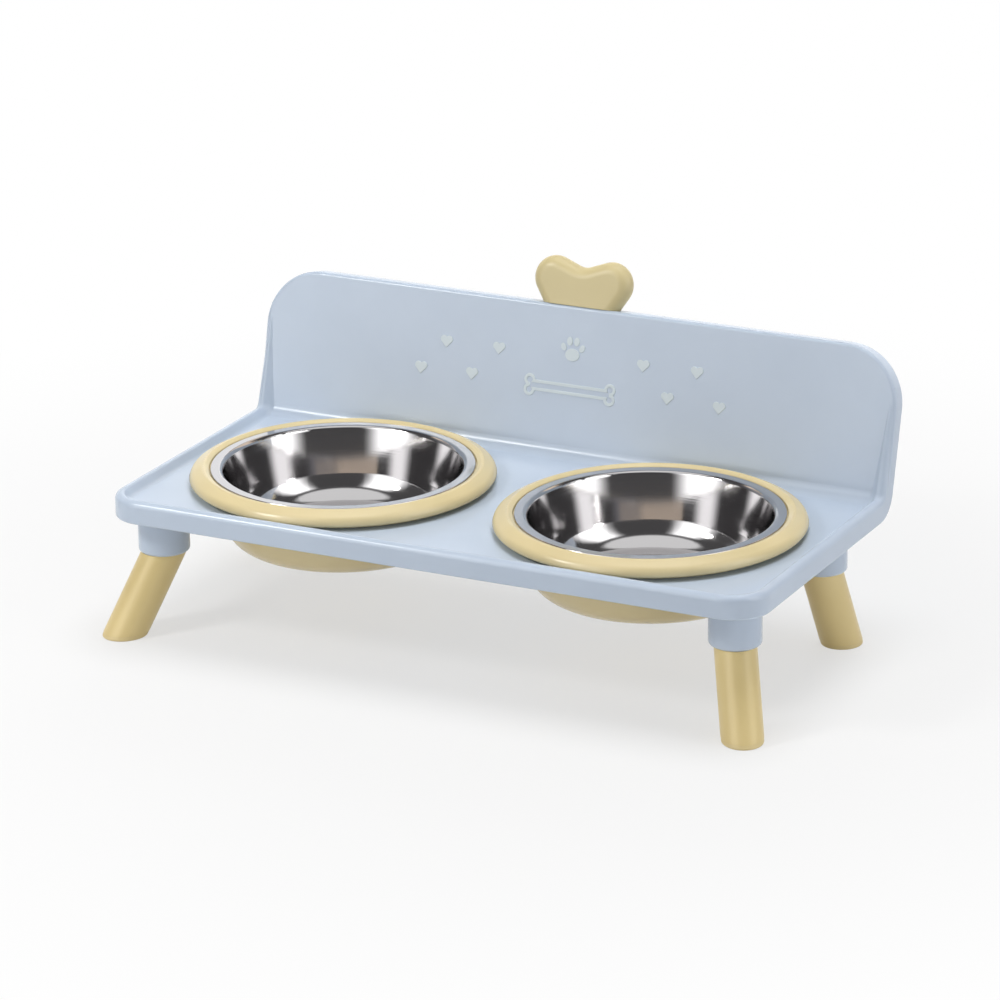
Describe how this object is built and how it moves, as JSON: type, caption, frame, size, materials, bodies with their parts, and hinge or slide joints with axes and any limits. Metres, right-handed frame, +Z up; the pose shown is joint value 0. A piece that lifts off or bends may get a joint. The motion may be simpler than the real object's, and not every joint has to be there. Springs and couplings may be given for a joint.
{
  "type": "elevated pet bowl stand",
  "caption": "Raised feeding tray with a leaning splash guard and a bone-end ornament, on splayed legs, with lift-out bowl holders and steel bowls.",
  "frame": {"origin": "on the ground under the middle of the whole stand's box", "axes": "+X to the right along the row of bowls, +Y to the back towards the splash guard, +Z up"},
  "size_m": [0.3528, 0.1942, 0.1639],
  "materials": {
    "blue_plastic": "satin",
    "yellow_plastic": "satin",
    "pad_rubber": "matte",
    "steel": "spun and polished"
  },
  "bodies": {
    "stand": {"tray": "blue_plastic", "bone_ornament": "yellow_plastic"},
    "left_holder": {"left_bowl_holder": "yellow_plastic"},
    "left_bowl": {"left_steel_bowl": "steel"},
    "front_left_leg_body": {"front_left_leg": "yellow_plastic", "front_left_foot_pad": "pad_rubber"},
    "rear_left_leg_body": {"rear_left_leg": "yellow_plastic", "rear_left_foot_pad": "pad_rubber"},
    "right_holder": {"right_bowl_holder": "yellow_plastic"},
    "right_bowl": {"right_steel_bowl": "steel"},
    "front_right_leg_body": {"front_right_leg": "yellow_plastic", "front_right_foot_pad": "pad_rubber"},
    "rear_right_leg_body": {"rear_right_leg": "yellow_plastic", "rear_right_foot_pad": "pad_rubber"}
  },
  "joints": [
    {"name": "left_holder_lift", "type": "slide", "parent": "stand", "child": "left_holder", "axis": [0, 0, 1], "range_m": [0, 0.045]},
    {"name": "left_bowl_lift", "type": "slide", "parent": "left_holder", "child": "left_bowl", "axis": [0, 0, 1], "range_m": [0, 0.045]},
    {"name": "front_left_leg_pull", "type": "slide", "parent": "stand", "child": "front_left_leg_body", "axis": [0, 0, -1], "range_m": [0, 0.022]},
    {"name": "rear_left_leg_pull", "type": "slide", "parent": "stand", "child": "rear_left_leg_body", "axis": [0, 0, -1], "range_m": [0, 0.022]},
    {"name": "right_holder_lift", "type": "slide", "parent": "stand", "child": "right_holder", "axis": [0, 0, 1], "range_m": [0, 0.045]},
    {"name": "right_bowl_lift", "type": "slide", "parent": "right_holder", "child": "right_bowl", "axis": [0, 0, 1], "range_m": [0, 0.045]},
    {"name": "front_right_leg_pull", "type": "slide", "parent": "stand", "child": "front_right_leg_body", "axis": [0, 0, -1], "range_m": [0, 0.022]},
    {"name": "rear_right_leg_pull", "type": "slide", "parent": "stand", "child": "rear_right_leg_body", "axis": [0, 0, -1], "range_m": [0, 0.022]}
  ]
}
